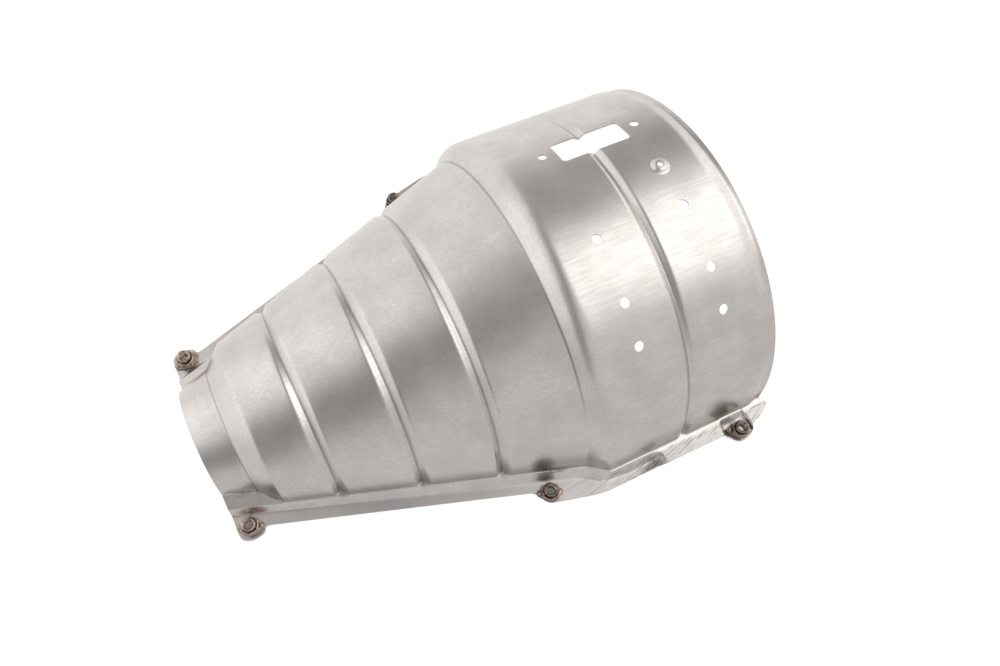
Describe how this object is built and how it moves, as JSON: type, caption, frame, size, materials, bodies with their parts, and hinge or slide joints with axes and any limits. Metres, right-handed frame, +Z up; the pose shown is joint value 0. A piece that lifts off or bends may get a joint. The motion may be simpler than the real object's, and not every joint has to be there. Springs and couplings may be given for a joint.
{
  "type": "exhaust heat shield half",
  "caption": "Upper half of a conical pressed-sheet exhaust heat shield, with flanged sides, floating anchor nuts, stiffening grooves and a window in the drum.",
  "frame": {"origin": "centre of the bounding box's bottom face, on the plane of the flanges' undersides", "axes": "+X along the duct from the small end to the large end, +Y towards the flange on the window's side, +Z up through the crown"},
  "size_m": [0.272, 0.2308, 0.0891],
  "materials": {
    "shell_sheet": "satin, lengthwise grain, light heat stains",
    "basket_steel": "heat-tinted bronze, satin",
    "nut_steel": "heat-tinted bronze, satin",
    "rivet_steel": "satin"
  },
  "bodies": {
    "shield": {"shell": "shell_sheet", "nut_basket_near_a": "basket_steel", "rivet_near_a_small_end": "rivet_steel", "rivet_near_a_large_end": "rivet_steel", "nut_basket_near_b": "basket_steel", "rivet_near_b_small_end": "rivet_steel", "rivet_near_b_large_end": "rivet_steel", "nut_basket_near_c": "basket_steel", "rivet_near_c_small_end": "rivet_steel", "rivet_near_c_large_end": "rivet_steel", "nut_basket_far_a": "basket_steel", "rivet_far_a_small_end": "rivet_steel", "rivet_far_a_large_end": "rivet_steel", "nut_basket_far_b": "basket_steel", "rivet_far_b_small_end": "rivet_steel", "rivet_far_b_large_end": "rivet_steel", "nut_basket_far_c": "basket_steel", "rivet_far_c_small_end": "rivet_steel", "rivet_far_c_large_end": "rivet_steel"},
    "nut_near_a": {"floating_nut_near_a": "nut_steel"},
    "nut_near_b": {"floating_nut_near_b": "nut_steel"},
    "nut_near_c": {"floating_nut_near_c": "nut_steel"},
    "nut_far_a": {"floating_nut_far_a": "nut_steel"},
    "nut_far_b": {"floating_nut_far_b": "nut_steel"},
    "nut_far_c": {"floating_nut_far_c": "nut_steel"}
  },
  "joints": [
    {"name": "nut_near_a_float", "type": "slide", "parent": "shield", "child": "nut_near_a", "axis": [0.9483, -0.3173, 0], "range_m": [-0.0004, 0.0004]},
    {"name": "nut_near_b_float", "type": "slide", "parent": "shield", "child": "nut_near_b", "axis": [0.9483, -0.3173, 0], "range_m": [-0.0004, 0.0004]},
    {"name": "nut_near_c_float", "type": "slide", "parent": "shield", "child": "nut_near_c", "axis": [0.891, -0.454, 0], "range_m": [-0.0004, 0.0004]},
    {"name": "nut_far_a_float", "type": "slide", "parent": "shield", "child": "nut_far_a", "axis": [0.9483, 0.3173, 0], "range_m": [-0.0004, 0.0004]},
    {"name": "nut_far_b_float", "type": "slide", "parent": "shield", "child": "nut_far_b", "axis": [0.9483, 0.3173, 0], "range_m": [-0.0004, 0.0004]},
    {"name": "nut_far_c_float", "type": "slide", "parent": "shield", "child": "nut_far_c", "axis": [0.891, 0.454, 0], "range_m": [-0.0004, 0.0004]}
  ]
}
